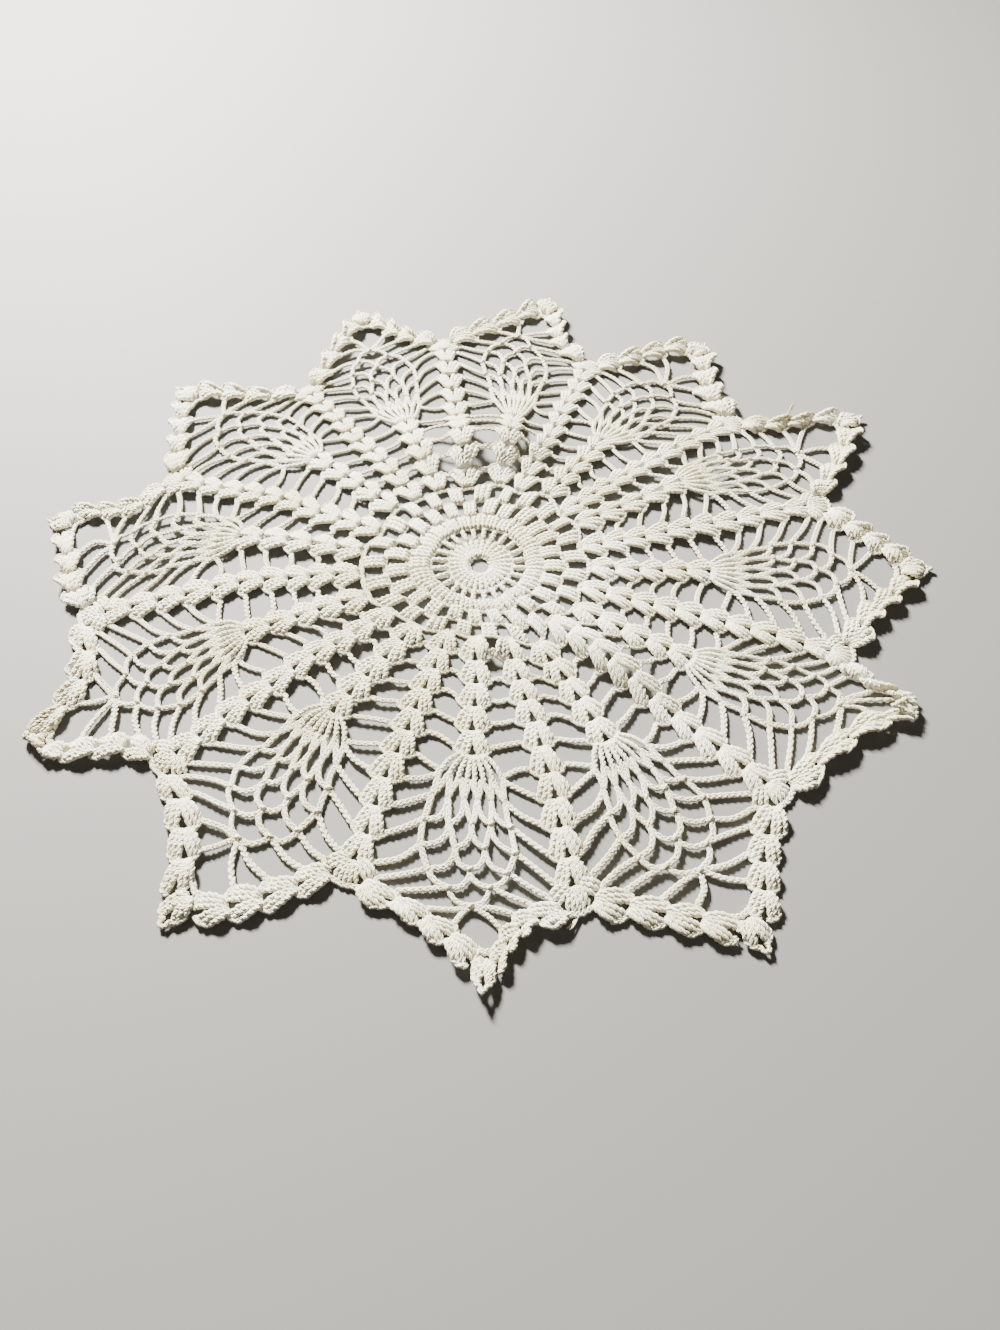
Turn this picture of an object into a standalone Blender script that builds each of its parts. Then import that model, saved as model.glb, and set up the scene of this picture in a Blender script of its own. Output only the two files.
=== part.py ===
"""A crocheted cotton doily with twelve pineapples, lying loosely on a surface.

The lace is one closed sheet with the gaps between its cords cut through.  It
is drawn flat and regular as a 2D curve, and each of its points is then moved
to where the soft cotton really lies: stretched unevenly, with curled edges,
folded tips and low ridges.
"""
import bmesh
import bpy
import cmath
import math
from mathutils import Matrix, Vector

MM = 0.001
THICKNESS = 2.6
COLOUR = (0.78, 0.75, 0.66, 1.0)
ROUGHNESS = 0.9

# Half of the width of the cords round the gaps, and how many gaps are cut
# through in each pineapple with its columns.
CORD_HALF = 2.0
GAPS_PER_SECTOR = 24

# The cells stand so far clear of the posts of the shells and of their tops.
POST_CLEARANCE = 2.0
TOP_CLEARANCE = 1.2

# The rim beside a notch, across and out from its last hole, the reach of the
# edge shells from their holes at the corners and in the dips between them,
# and the rim of the tip, across and back from its end.
NOTCH_RIM = ((0.0, 12.5), (4.6, 12.0))
EDGE_RIM = 8.0
EDGE_DIP = 4.2
TIP_RIM = ((8.0, 11.0), (5.5, 0.5))

# The lace is cut so that it can bend: past these radii along its curled edges
# and its tips, at these shares of a fold and of a raised place, and there
# only through faces larger than this many square millimetres.
EDGE_CUT_RADIUS = 190.0
TIP_CUT_RADIUS = 195.0
FOLD_CUTS = (0.0, 0.33, 0.67, 1.0)
TIP_SHIFT_AT_FOLD = 0.85
RIDGE_CUTS = (-0.5, 0.0, 0.5)
PLAIN_FACE = 60.0


# ---------------------------------------------------------------- the pattern
# The flat, regular lace.  Lengths are in millimetres.  A point of a sector is
# complex: across the pineapple's axis, and out from the centre along it.
SECTORS = 12
SECTOR = 2.0 * math.pi / SECTORS
CENTRE_HOLE = 4.5
SHELL_START = 61.0
ROUND_PITCH = 12.85
FAN_ROUND = 6
NET_START = 7
NOTCH_ROUND = 10
NET_END = 13
EDGE_SHELLS = 5
TIP_RADIUS = 243.5
SHELL_BASE = 5.0
SHELL_TOP = 8.6
SHELL_CORNER = 1.5
EDGE_TOP = 6.6
EDGE_CORNER = 2.0
FAN_HALF_WIDTH = 14.0

# Beside the last hole of a notch, aside and outwards: the start of the edges'
# rows of shells, and the corner of the cluster in the notch.
EDGE_START = (6.5, 8.5)
CLUSTER_CORNER = (12.5, 4.0)

# The net inside a pineapple, by round: joints, half of its width, radius.
NET = {
    7: (7, 14.0, 139.5),
    8: (6, 16.5, 150.0),
    9: (5, 20.0, 162.0),
    10: (4, 21.5, 174.0),
    11: (3, 18.5, 185.0),
    12: (2, 10.5, 194.0),
    13: (1, 0.0, 202.5),
}

# ------------------------------------------------------------ how it lies
# A row for each column of stitches, pineapples and notches in turn: its
# direction in degrees at the shells and at its end, then the true radius of
# the first shells, of round 5 and of the end.
COLUMNS = (
    (201.8, 206.0, 64.0, 130.7, 199.7),
    (217.3, 220.0, 56.0, 116.5, 185.4),
    (233.8, 237.0, 53.5, 118.5, 193.5),
    (252.6, 253.2, 47.0, 109.5, 179.6),
    (269.7, 270.2, 50.5, 117.8, 193.7),
    (286.5, 284.1, 52.0, 117.0, 187.6),
    (300.8, 300.4, 62.0, 127.0, 201.6),
    (315.6, 316.4, 54.0, 122.5, 192.0),
    (330.3, 333.7, 60.0, 127.1, 201.0),
    (344.0, 343.0, 58.5, 122.5, 191.8),
    (357.9, 359.8, 61.5, 127.6, 205.6),
    (372.0, 373.6, 58.0, 121.5, 195.2),
    (388.2, 384.8, 62.5, 133.4, 211.9),
    (398.5, 396.8, 60.0, 122.0, 188.0),
    (412.8, 412.4, 65.0, 123.4, 188.7),
    (428.0, 427.6, 58.0, 118.0, 175.1),
    (440.0, 443.9, 60.0, 120.3, 198.6),
    (457.8, 458.4, 57.0, 118.0, 183.5),
    (473.9, 473.0, 60.0, 121.5, 194.6),
    (488.0, 489.0, 60.0, 121.0, 174.4),
    (500.9, 504.5, 62.5, 128.4, 200.2),
    (518.8, 521.8, 60.0, 124.0, 184.2),
    (532.7, 537.6, 65.0, 136.0, 205.5),
    (547.0, 550.7, 65.5, 130.0, 200.8),
)

# How far the tip of each pineapple is drawn sideways and outwards.
TIPS = (
    (12.0, 14.0), (0.0, 4.0), (6.0, -6.0), (4.0, 1.0), (22.0, 12.0), (0.0, 0.0),
    (12.0, 10.0), (0.0, 16.0), (-18.0, 2.0), (-5.0, 2.0), (0.0, 0.0), (-16.0, 3.0),
)

# A row for each edge of a pineapple, both sides of each in turn: how far it
# is pulled in, and by how many degrees it curls up past its holes.
EDGES = (
    (6.0, 30.0), (3.0, 0.0),
    (6.0, 0.0), (-1.0, 0.0),
    (6.0, 20.0), (5.0, 60.0),
    (2.0, 0.0), (2.0, 0.0),
    (7.0, 40.0), (-2.0, 80.0),
    (2.0, 50.0), (1.0, 50.0),
    (0.0, 40.0), (1.0, 50.0),
    (4.0, 30.0), (-3.0, 40.0),
    (7.0, 50.0), (3.0, 40.0),
    (3.0, 50.0), (1.0, 40.0),
    (4.0, 40.0), (0.0, 40.0),
    (7.0, 30.0), (-4.0, 40.0),
)

# Folded tips: pineapple, the fold's direction from the axis in degrees, its
# distance from the centre, and how many degrees it turns up.
TIP_FOLDS = (
    (1, 30.0, 220.0, 170.0),
    (3, 0.0, 226.0, 16.0),
    (5, 20.0, 228.0, 165.0),
)

# Raised places: column of the pattern they lie on, counted like pineapples,
# and its radius; half of their length out from the centre and of their
# width, and their height.
RIDGES = (
    (9.28, 97.0, 32.0, 55.0, 12.0),
    (4.58, 97.0, 48.0, 15.0, 8.0),
    (3.22, 68.0, 14.0, 12.0, 5.0),
)
REGULAR_CENTRE = 18.0
FIRST_AXIS = 201.8
CENTRE_LEAN = 2.6
FOLD_RADIUS = 4.0


def hole_radius(k):
    """Radius of the small hole in the middle of a shell of round k."""
    return SHELL_START + ROUND_PITCH * k


def beside(column, across, radius):
    """A point beside a column, which stands that many sectors from the axis."""
    return complex(across, radius) * cmath.rect(1.0, -column * SECTOR)


def joint(k, index):
    """A joint of the net, counted across the pineapple."""
    count, half_width, radius = NET[k]
    share = 2.0 * index / (count - 1) - 1.0 if count > 1 else 0.0
    return complex(share * half_width, radius)


def outer_joint(side, k):
    k = min(k, NET_END)
    return joint(k, NET[k][0] - 1 if side > 0 else 0)


def edge_hole(side, shell):
    """Holes of the shells along a pineapple's edge, from the notch to the tip."""
    aside, out = EDGE_START
    start = beside(side / 2, -side * aside, hole_radius(NOTCH_ROUND) + out)
    return start + (complex(0.0, TIP_RADIUS) - start) * shell / EDGE_SHELLS


def edge_frame(side):
    """The directions along an edge, to the tip, and outwards from it."""
    along = edge_hole(side, EDGE_SHELLS) - edge_hole(side, 0)
    along /= abs(along)
    return along, along * complex(0.0, -side)


def edge_corner(side, shell, outwards):
    """The top corner of an edge shell's outer or, below zero, inner group."""
    along, out = edge_frame(side)
    return edge_hole(side, shell) - EDGE_CORNER * along + outwards * out


def hanger(side, k):
    """Where the side chain of round k leaves the shells beside the net."""
    if k <= NOTCH_ROUND:
        return beside(side / 2, -side * SHELL_TOP, hole_radius(k) - SHELL_CORNER)
    if k == NOTCH_ROUND + 1:
        aside, out = CLUSTER_CORNER
        return beside(side / 2, -side * aside, hole_radius(NOTCH_ROUND) + out)
    return edge_corner(side, k - NOTCH_ROUND - 1, -EDGE_TOP)


def mix(a, b, share):
    return a + (b - a) * share


def ease(share):
    """A smooth step from 0 to 1."""
    share = min(1.0, max(0.0, share))
    return share * share * (3.0 - 2.0 * share)


def dot(a, b):
    return (a.conjugate() * b).real


def column_reach(column, radius):
    """True radius of a ring of the pattern where it crosses a column."""
    start, middle, end = COLUMNS[column][2:]
    full = NET[NET_END][2] if column % 2 == 0 else hole_radius(NOTCH_ROUND)
    rings = (0.0, REGULAR_CENTRE, SHELL_START, hole_radius(FAN_ROUND - 1), full)
    reach = (0.0, REGULAR_CENTRE, start, middle, end)
    i = min(sum(radius > ring for ring in rings[1:]), 3)
    return mix(reach[i], reach[i + 1], (radius - rings[i]) / (rings[i + 1] - rings[i]))


def column_lean(column, radius):
    """How far a column leans from its even place, in degrees."""
    near, far = COLUMNS[column][:2]
    even = FIRST_AXIS + 15.0 * column
    lean = mix(near, far, ease((radius - 115.0) / 80.0)) - even
    return mix(CENTRE_LEAN, lean, ease((radius - 10.0) / 50.0))


def lay(sector, point):
    """Where a point of the pattern lies, seen from above."""
    radius = abs(point)
    place = 2.0 * ((sector + math.atan2(point.real, point.imag) / SECTOR) % SECTORS)
    column = int(place) % (2 * SECTORS)
    share = ease(place - int(place))
    beyond = (column + 1) % (2 * SECTORS)
    reach = mix(column_reach(column, radius), column_reach(beyond, radius), share)
    lean = mix(column_lean(column, radius), column_lean(beyond, radius), share)
    return cmath.rect(reach, math.radians(FIRST_AXIS + 15.0 * place + lean))


def bend(past, height, degrees, radius=FOLD_RADIUS):
    """Roll what lies past a fold line upwards: its new distance and height."""
    turn = math.radians(degrees)
    if past <= 0.0 or turn == 0.0:
        return past, height
    arc = min(past / radius, turn)
    rest = past - arc * radius
    return ((radius - height) * math.sin(arc) + rest * math.cos(arc),
            radius - (radius - height) * math.cos(arc) + rest * math.sin(arc))


def beside_edge(point, past, out):
    """A point of the net itself, but for the shells along an edge the place of
    their holes, so that they keep their width where the lace is drawn aside."""
    return point - past * ease((past + 30.0) / 24.0) * out


def curl_edge(sector, point, height):
    """Pull in and curl up the edges of a pineapple."""
    side = 1 if point.real > 0.0 else -1
    pull, degrees = EDGES[2 * sector + (side > 0)]
    along, out = edge_frame(side)
    start = edge_hole(side, 0)
    past = dot(out, point - start)
    share = dot(along, point - start) / abs(edge_hole(side, EDGE_SHELLS) - start)
    near = ease(share / 0.35)
    held = near * ease((1.0 - share) / 0.25) * ease(abs(beside_edge(point, past, out).real) / 20.0)
    point -= pull * held * ease((past + 40.0) / 40.0) * out
    moved, height = bend(past, height, degrees * near)
    return point + (moved - past) * out, height


def tip_share(point):
    """The share of its tip's shift that a point takes."""
    side = 1 if point.real > 0.0 else -1
    out = edge_frame(side)[1]
    past = dot(out, point - edge_hole(side, 0))
    return ease((beside_edge(point, past, out).imag - NET[NET_END][2] + 5.0) / 40.0)


def fold_tip(sector, point, height):
    """Draw the tip of a pineapple aside and fold it up."""
    point += complex(*TIPS[sector]) * tip_share(point)
    for pineapple, direction, distance, degrees in TIP_FOLDS:
        if pineapple == sector + 1:
            out = cmath.rect(1.0, math.radians(90.0 - direction))
            past = dot(out, point) - distance
            moved, height = bend(past, height, degrees)
            point += (moved - past) * out
    return point, height


def ridge_height(sector, point):
    """How far a point of the pattern is raised off the surface."""
    total = 0.0
    for column, radius, half_length, half_width, height in RIDGES:
        turned = point * cmath.rect(1.0, (column - 1.0 - sector) * SECTOR)
        across = turned.real / half_width
        along = (turned.imag - radius) / half_length
        total += height * max(0.0, 1.0 - across * across - along * along) ** 2
    return total


def settle(sector, point, height):
    """The true x, y and z, in millimetres from the centre hole, of a point of
    the pattern at a height above the underside of the lace."""
    raised = ridge_height(sector, point)
    if abs(point) > hole_radius(NOTCH_ROUND) - 40.0:
        point, height = curl_edge(sector, point, height)
        point, height = fold_tip(sector, point, height)
    spot = lay(sector, point)
    return spot.real, spot.imag, height + raised


# --------------------------------------------------------- gaps and outline
def column_cell(side, k):
    """The gap of round k between a pineapple's column and the next column."""
    below = hole_radius(k - 1) + POST_CLEARANCE
    above = hole_radius(k) - TOP_CLEARANCE
    near = FAN_HALF_WIDTH if k == FAN_ROUND else SHELL_TOP
    return [beside(0.0, side * SHELL_BASE, below), beside(0.0, side * near, above),
            beside(side / 4, 0.0, hole_radius(k)), beside(side / 2, -side * SHELL_TOP, above),
            beside(side / 2, -side * SHELL_BASE, below)]


def side_cell(side, k):
    """The gap of round k between the net and the shells beside it."""
    fan_end = complex(side * FAN_HALF_WIDTH, hole_radius(FAN_ROUND) - TOP_CLEARANCE)
    cell = [hanger(side, k - 1), outer_joint(side, k - 1) if k > NET_START else fan_end]
    if k <= NET_END:
        cell.append(outer_joint(side, k))
    cell.append(hanger(side, k))
    if k <= NOTCH_ROUND:
        cell.append(beside(side / 2, -side * SHELL_BASE, hole_radius(k - 1) + POST_CLEARANCE))
    return cell


def net_cell(k, index):
    """The diamond of the net between two joints of round k."""
    return [joint(k - 1, index + 1), joint(k, index + 1), joint(k + 1, index), joint(k, index)]


def tip_cell():
    """The large gap between the net's last joint and the tip."""
    last = EDGE_SHELLS - 1
    right = [edge_corner(1, shell, -EDGE_TOP) for shell in (last - 1, last)]
    left = [edge_corner(-1, shell, -EDGE_TOP) for shell in (last, last - 1)]
    return [joint(NET_END, 0)] + right + left


def area(cell):
    products = [(a.conjugate() * b).imag for a, b in zip(cell, cell[1:] + cell[:1])]
    return abs(sum(products)) / 2.0


def inset(cell):
    """A cell without the half of each cord that reaches into it."""
    middle = sum(cell) / len(cell)
    return [corner + (middle - corner) * CORD_HALF / abs(middle - corner) for corner in cell]


def largest_gaps():
    """The largest gaps of one pineapple and of the columns beside it."""
    found = [column_cell(side, k) for side in (-1, 1) for k in range(1, FAN_ROUND + 1)]
    found += [side_cell(side, k) for side in (-1, 1) for k in range(NET_START, NET_END + 2)]
    found += [net_cell(k, index) for k in range(NET_START + 1, NET_END) for index in range(NET[k][0] - 1)]
    found.append(tip_cell())
    found.sort(key=area, reverse=True)
    return [inset(cell) for cell in found[:GAPS_PER_SECTOR]]


def rim(side):
    """The rim of a pineapple on one side, from the notch to the tip."""
    points = [beside(side / 2, -side * across, hole_radius(NOTCH_ROUND) + out) for across, out in NOTCH_RIM]
    for shell in range(1, EDGE_SHELLS):
        points.append(edge_corner(side, shell, EDGE_RIM))
        if shell < EDGE_SHELLS - 1:
            points.append((edge_corner(side, shell, EDGE_DIP) + edge_corner(side, shell + 1, EDGE_DIP)) / 2.0)
    points += [complex(side * across, TIP_RADIUS - back) for across, back in TIP_RIM]
    return points


# ------------------------------------------------------------------- model
def flat_place(sector, point):
    """A point of a sector in the plane of the whole flat pattern."""
    spot = point.conjugate() * cmath.rect(1.0, math.radians(90.0) + sector * SECTOR)
    return Vector((spot.real, spot.imag, 0.0))


def from_flat(spot):
    """The sector and the point of the pattern at a place of the flat plane."""
    turn = math.atan2(spot.y, spot.x)
    sector = round(turn / SECTOR)
    point = complex(spot.x, spot.y).conjugate() * cmath.rect(1.0, math.radians(90.0) + sector * SECTOR)
    return sector % SECTORS, point


def add_loop(curve, corners):
    spline = curve.splines.new("POLY")
    spline.points.add(len(corners) - 1)
    for target, corner in zip(spline.points, corners):
        target.co = (corner.x, corner.y, 0.0, 1.0)
    spline.use_cyclic_u = True


def draw_lace():
    """The flat lace as a 2D curve: its rim, the gaps and the centre hole."""
    curve = bpy.data.curves.new("lace outline", "CURVE")
    curve.dimensions = "2D"
    curve.fill_mode = "BOTH"
    curve.extrude = THICKNESS / 2.0
    outline = []
    for sector in range(SECTORS):
        outline += [flat_place(sector, point) for point in rim(-1)]
        outline += [flat_place(sector, point) for point in reversed(rim(1)[1:])]
        for cell in largest_gaps():
            add_loop(curve, [flat_place(sector, corner) for corner in cell])
    add_loop(curve, outline)
    add_loop(curve, [flat_place(sector, complex(0.0, CENTRE_HOLE)) for sector in range(SECTORS)])
    return curve


def cut_along(mesh, out, distance, chosen):
    """Cut the chosen faces along a line across a direction, so that they can bend."""
    edges = {edge for face in chosen for edge in face.edges}
    verts = {vert for face in chosen for vert in face.verts}
    geometry = list(chosen) + list(edges) + list(verts)
    bmesh.ops.bisect_plane(mesh, geom=geometry, dist=1e-4, plane_co=out * distance, plane_no=out)


def faces_beyond(mesh, sector, radius, side=0):
    """The faces of a pineapple beyond a radius, on one side of it or on both."""
    chosen = set()
    for face in mesh.faces:
        where, point = from_flat(face.calc_center_median())
        if where == sector and abs(point) > radius and point.real * side >= 0.0:
            chosen.add(face)
    return chosen


def cut_folds(mesh):
    """Cut the lace along its curls and folds, so that it can bend there."""
    out = edge_frame(1)[1]
    edge_direction = math.atan2(out.real, out.imag)
    edge_distance = dot(out, edge_hole(1, 0))
    for sector in range(SECTORS):
        for side in (-1, 1):
            degrees = EDGES[2 * sector + (side > 0)][1]
            if degrees > 0.0:
                normal = flat_place(sector, cmath.rect(1.0, math.pi / 2.0 - side * edge_direction))
                for past in (0.0, FOLD_RADIUS * math.radians(degrees) / 2.0):
                    chosen = faces_beyond(mesh, sector, EDGE_CUT_RADIUS, side)
                    cut_along(mesh, normal, edge_distance + past, chosen)
    for pineapple, direction, distance, degrees in TIP_FOLDS:
        sector = pineapple - 1
        out = cmath.rect(1.0, math.radians(90.0 - direction))
        start = distance - TIP_SHIFT_AT_FOLD * dot(out, complex(*TIPS[sector]))
        arc = FOLD_RADIUS * math.radians(degrees)
        for share in FOLD_CUTS:
            chosen = faces_beyond(mesh, sector, TIP_CUT_RADIUS)
            cut_along(mesh, flat_place(sector, out), start + share * arc, chosen)


def cut_ridges(mesh):
    """Cut a grid of lines across each raised place, where its faces are large."""
    for column, radius, half_length, half_width in [row[:4] for row in RIDGES]:
        outwards = flat_place(column - 1.0, complex(0.0, 1.0))
        sideways = flat_place(column - 1.0, complex(1.0, 0.0))
        for normal, middle, half in ((outwards, radius, half_length), (sideways, 0.0, half_width)):
            for step in RIDGE_CUTS:
                chosen = []
                for face in mesh.faces:
                    if face.calc_area() < PLAIN_FACE:
                        continue
                    out = [vert.co.dot(outwards) - radius for vert in face.verts]
                    side = [vert.co.dot(sideways) for vert in face.verts]
                    if (min(out) < half_length and max(out) > -half_length
                            and min(side) < half_width and max(side) > -half_width):
                        chosen.append(face)
                cut_along(mesh, normal, middle + step * half, chosen)


def make_lace(collection):
    curve = draw_lace()
    sketch = bpy.data.objects.new("lace sketch", curve)
    collection.objects.link(sketch)
    evaluated = sketch.evaluated_get(bpy.context.evaluated_depsgraph_get())
    mesh = bpy.data.meshes.new_from_object(evaluated)
    bpy.data.objects.remove(sketch)
    shape = bmesh.new()
    shape.from_mesh(mesh)
    bmesh.ops.remove_doubles(shape, verts=shape.verts, dist=0.001)
    cut_folds(shape)
    cut_ridges(shape)
    bmesh.ops.triangulate(shape, faces=shape.faces)
    for vertex in shape.verts:
        sector, point = from_flat(vertex.co)
        vertex.co = Vector(settle(sector, point, vertex.co.z + THICKNESS / 2.0))
    bmesh.ops.recalc_face_normals(shape, faces=shape.faces)
    if shape.calc_volume(signed=True) < 0.0:
        bmesh.ops.reverse_faces(shape, faces=shape.faces)
    low = Vector(min(v.co[axis] for v in shape.verts) for axis in range(3))
    high = Vector(max(v.co[axis] for v in shape.verts) for axis in range(3))
    foot = Vector(((low.x + high.x) / 2.0, (low.y + high.y) / 2.0, low.z))
    bmesh.ops.transform(shape, matrix=Matrix.Scale(MM, 4) @ Matrix.Translation(-foot), verts=shape.verts)
    shape.to_mesh(mesh)
    shape.free()
    mesh.name = "doily"
    lace = bpy.data.objects.new("doily", mesh)
    collection.objects.link(lace)
    return lace


def make_material():
    cotton = bpy.data.materials.new("cream cotton")
    cotton.use_nodes = True
    surface = cotton.node_tree.nodes["Principled BSDF"]
    surface.inputs["Base Color"].default_value = COLOUR
    surface.inputs["Roughness"].default_value = ROUGHNESS
    surface.inputs["Metallic"].default_value = 0.0
    return cotton


def main():
    for old in list(bpy.data.objects):
        bpy.data.objects.remove(old)
    collection = bpy.data.collections.new("lace doily")
    bpy.context.scene.collection.children.link(collection)
    lace = make_lace(collection)
    lace.data.materials.clear()
    lace.data.materials.append(make_material())


main()
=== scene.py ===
"""The looks of the crocheted cotton doily: every stitch is made of yarn.

The flat pattern and the way in which it lies are the same as in the part's
source.  Chains are plaits of three strands, tall stitches are two strands
twisted round each other, and all of them follow the lace where it curls up,
folds over and rises off the surface.
"""
import bpy
import cmath
import math
import random
from types import SimpleNamespace
from mathutils import Matrix, Vector, noise
import numpy as np


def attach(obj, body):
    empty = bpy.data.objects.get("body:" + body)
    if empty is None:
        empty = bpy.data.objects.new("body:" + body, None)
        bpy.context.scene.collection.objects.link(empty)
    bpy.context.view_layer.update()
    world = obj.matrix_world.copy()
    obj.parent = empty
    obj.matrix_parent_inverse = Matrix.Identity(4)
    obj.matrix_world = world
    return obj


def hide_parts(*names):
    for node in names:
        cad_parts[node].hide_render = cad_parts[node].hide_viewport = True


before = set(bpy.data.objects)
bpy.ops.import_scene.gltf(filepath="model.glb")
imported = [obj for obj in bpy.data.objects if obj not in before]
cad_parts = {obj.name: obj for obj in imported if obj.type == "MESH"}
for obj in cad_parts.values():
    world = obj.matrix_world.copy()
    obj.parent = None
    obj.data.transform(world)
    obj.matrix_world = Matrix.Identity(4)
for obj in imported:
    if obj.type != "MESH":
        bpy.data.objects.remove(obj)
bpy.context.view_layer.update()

MM = 0.001

# The camera: how far down it looks and how it leans, in degrees; its place
# from the centre hole, in millimetres; its focal length and the picture's
# longer side, in pixels; and its sensor's, in millimetres.
CAMERA_DOWN = 57.199
CAMERA_ROLL = 0.742
CAMERA_PLACE = (12.4, -311.8, 381.9)
FOCAL_PIXELS = 880.0
PICTURE_HEIGHT = 1330.0
SENSOR = 36.0

# Each light: its place and its width in metres, its power in watts, and its
# colour.  Then the light from all round.
WINDOW = ((-0.62, 0.98, 0.92), 0.3, 230.0, (1.0, 0.985, 0.93))
FILL = ((0.7, -1.1, 1.3), 1.6, 4.0, (1.0, 0.9, 0.74))
WORLD_COLOUR = (1.0, 0.97, 0.93, 1.0)
WORLD_STRENGTH = 0.08

# The floor's surface, and half of its side in metres.
FLOOR_SURFACE = {
    "Base Color": (0.18, 0.176, 0.167, 1.0), "Roughness": 0.7, "Specular IOR Level": 0.3}
FLOOR_REACH = 6.0

# The cotton's surface, and its three noises: the number of their waves in a
# metre, and their detail.
COTTON_SURFACE = {
    "Roughness": 0.88, "Specular IOR Level": 0.25, "Sheen Weight": 0.25, "Sheen Roughness": 0.5}
PATCHES = (22.0, 3.0)
TUFTS = (420.0, 2.0)
FIBRES = (1500.0, 3.0)

# The colours of its patches: a darker tan of painted shade and the pale cream of
# the cotton itself; then the painted shade in the hollows between its tufts and
# the colour of the tufts; each with its place in the noise.
# The first colour is painted shade: a darker tan, spread in patches at random by the noise.
PAINTED_SHADE_TAN = (0.32, (0.74, 0.685, 0.48, 1.0))
PALE = (0.62, (0.905, 0.88, 0.72, 1.0))
# Painted shade in the hollows between tufts, and the tufts, left at the cotton's own colour.
HOLLOW_PAINTED_SHADE = (0.35, (0.86, 0.84, 0.80, 1.0))
TUFT = (0.6, (1.0, 1.0, 1.0, 1.0))

# The relief of a strand: its plies, the length in which one runs round it,
# the shares that plies and fibres have in the relief, and how strong and, in
# metres, how deep it is.
PLIES = 5.0
PLY_LENGTH = 8.0
PLY_HEIGHT = 0.5
FIBRE_HEIGHT = 0.9
RELIEF_STRENGTH = 0.9
RELIEF_DEPTH = 0.0003

# The cloth's faint waves and the small shifts of its hand-made stitches: how
# long and how large they are, and the slice of the noise that they come from.
WAVE_LENGTH = 60.0
WAVE_HEIGHT = 2.5
WAVE_SLICE = 0.5
SHIFT_LENGTH = 26.0
SHIFT = 1.8
SHIFT_SLICE = 7.5

# ---------------------------------------------------------------- the pattern
# The flat, regular lace.  Lengths are in millimetres.  A point of a sector is
# complex: across the pineapple's axis, and out from the centre along it.
SECTORS = 12
SECTOR = 2.0 * math.pi / SECTORS
COLUMN_STEP = 180.0 / SECTORS
CENTRE_HOLE = 4.5

# The rounds of shells: the radius where they start, and the step between them.
# Then the round of the fan, the net's first, the notches' last and the net's
# last.
SHELL_START = 61.0
ROUND_PITCH = 12.85
FAN_ROUND = 6
NET_START = 7
NOTCH_ROUND = 10
NET_END = 13

# Half of a shell's width, and how much nearer the centre than its hole its
# corners lie.
SHELL_TOP = 8.6
SHELL_CORNER = 1.5

# The edging: the steps from hole to hole along an edge, the radius of the
# tips, and the same two lengths for its shells.
EDGE_SHELLS = 5
TIP_RADIUS = 243.5
EDGE_TOP = 6.6
EDGE_CORNER = 2.0

# Beside the last hole of a notch, aside and outwards: the start of the edges'
# rows of shells, and the corner of the cluster in the notch.
EDGE_START = (6.5, 8.5)
CLUSTER_CORNER = (12.5, 4.0)

# The net inside a pineapple, by round: joints, half of its width, radius.
NET = {
    7: (7, 14.0, 139.5),
    8: (6, 16.5, 150.0),
    9: (5, 20.0, 162.0),
    10: (4, 21.5, 174.0),
    11: (3, 18.5, 185.0),
    12: (2, 10.5, 194.0),
    13: (1, 0.0, 202.5),
}

# ------------------------------------------------------------ how it lies
# A row for each column of stitches, pineapples and notches in turn: its
# direction in degrees at the shells and at its end, then the true radius of
# the first shells, of round 5 and of the end.
COLUMNS = (
    (201.8, 206.0, 64.0, 130.7, 199.7),
    (217.3, 220.0, 56.0, 116.5, 185.4),
    (233.8, 237.0, 53.5, 118.5, 193.5),
    (252.6, 253.2, 47.0, 109.5, 179.6),
    (269.7, 270.2, 50.5, 117.8, 193.7),
    (286.5, 284.1, 52.0, 117.0, 187.6),
    (300.8, 300.4, 62.0, 127.0, 201.6),
    (315.6, 316.4, 54.0, 122.5, 192.0),
    (330.3, 333.7, 60.0, 127.1, 201.0),
    (344.0, 343.0, 58.5, 122.5, 191.8),
    (357.9, 359.8, 61.5, 127.6, 205.6),
    (372.0, 373.6, 58.0, 121.5, 195.2),
    (388.2, 384.8, 62.5, 133.4, 211.9),
    (398.5, 396.8, 60.0, 122.0, 188.0),
    (412.8, 412.4, 65.0, 123.4, 188.7),
    (428.0, 427.6, 58.0, 118.0, 175.1),
    (440.0, 443.9, 60.0, 120.3, 198.6),
    (457.8, 458.4, 57.0, 118.0, 183.5),
    (473.9, 473.0, 60.0, 121.5, 194.6),
    (488.0, 489.0, 60.0, 121.0, 174.4),
    (500.9, 504.5, 62.5, 128.4, 200.2),
    (518.8, 521.8, 60.0, 124.0, 184.2),
    (532.7, 537.6, 65.0, 136.0, 205.5),
    (547.0, 550.7, 65.5, 130.0, 200.8),
)

# How far the tip of each pineapple is drawn sideways and outwards.
TIPS = (
    (12.0, 14.0), (0.0, 4.0), (6.0, -6.0), (4.0, 1.0), (22.0, 12.0), (0.0, 0.0),
    (12.0, 10.0), (0.0, 16.0), (-18.0, 2.0), (-5.0, 2.0), (0.0, 0.0), (-16.0, 3.0),
)

# A row for each edge of a pineapple, both sides of each in turn: how far it
# is pulled in, and by how many degrees it curls up past its holes.
EDGES = (
    (6.0, 30.0), (3.0, 0.0),
    (6.0, 0.0), (-1.0, 0.0),
    (6.0, 20.0), (5.0, 60.0),
    (2.0, 0.0), (2.0, 0.0),
    (7.0, 40.0), (-2.0, 80.0),
    (2.0, 50.0), (1.0, 50.0),
    (0.0, 40.0), (1.0, 50.0),
    (4.0, 30.0), (-3.0, 40.0),
    (7.0, 50.0), (3.0, 40.0),
    (3.0, 50.0), (1.0, 40.0),
    (4.0, 40.0), (0.0, 40.0),
    (7.0, 30.0), (-4.0, 40.0),
)

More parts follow.
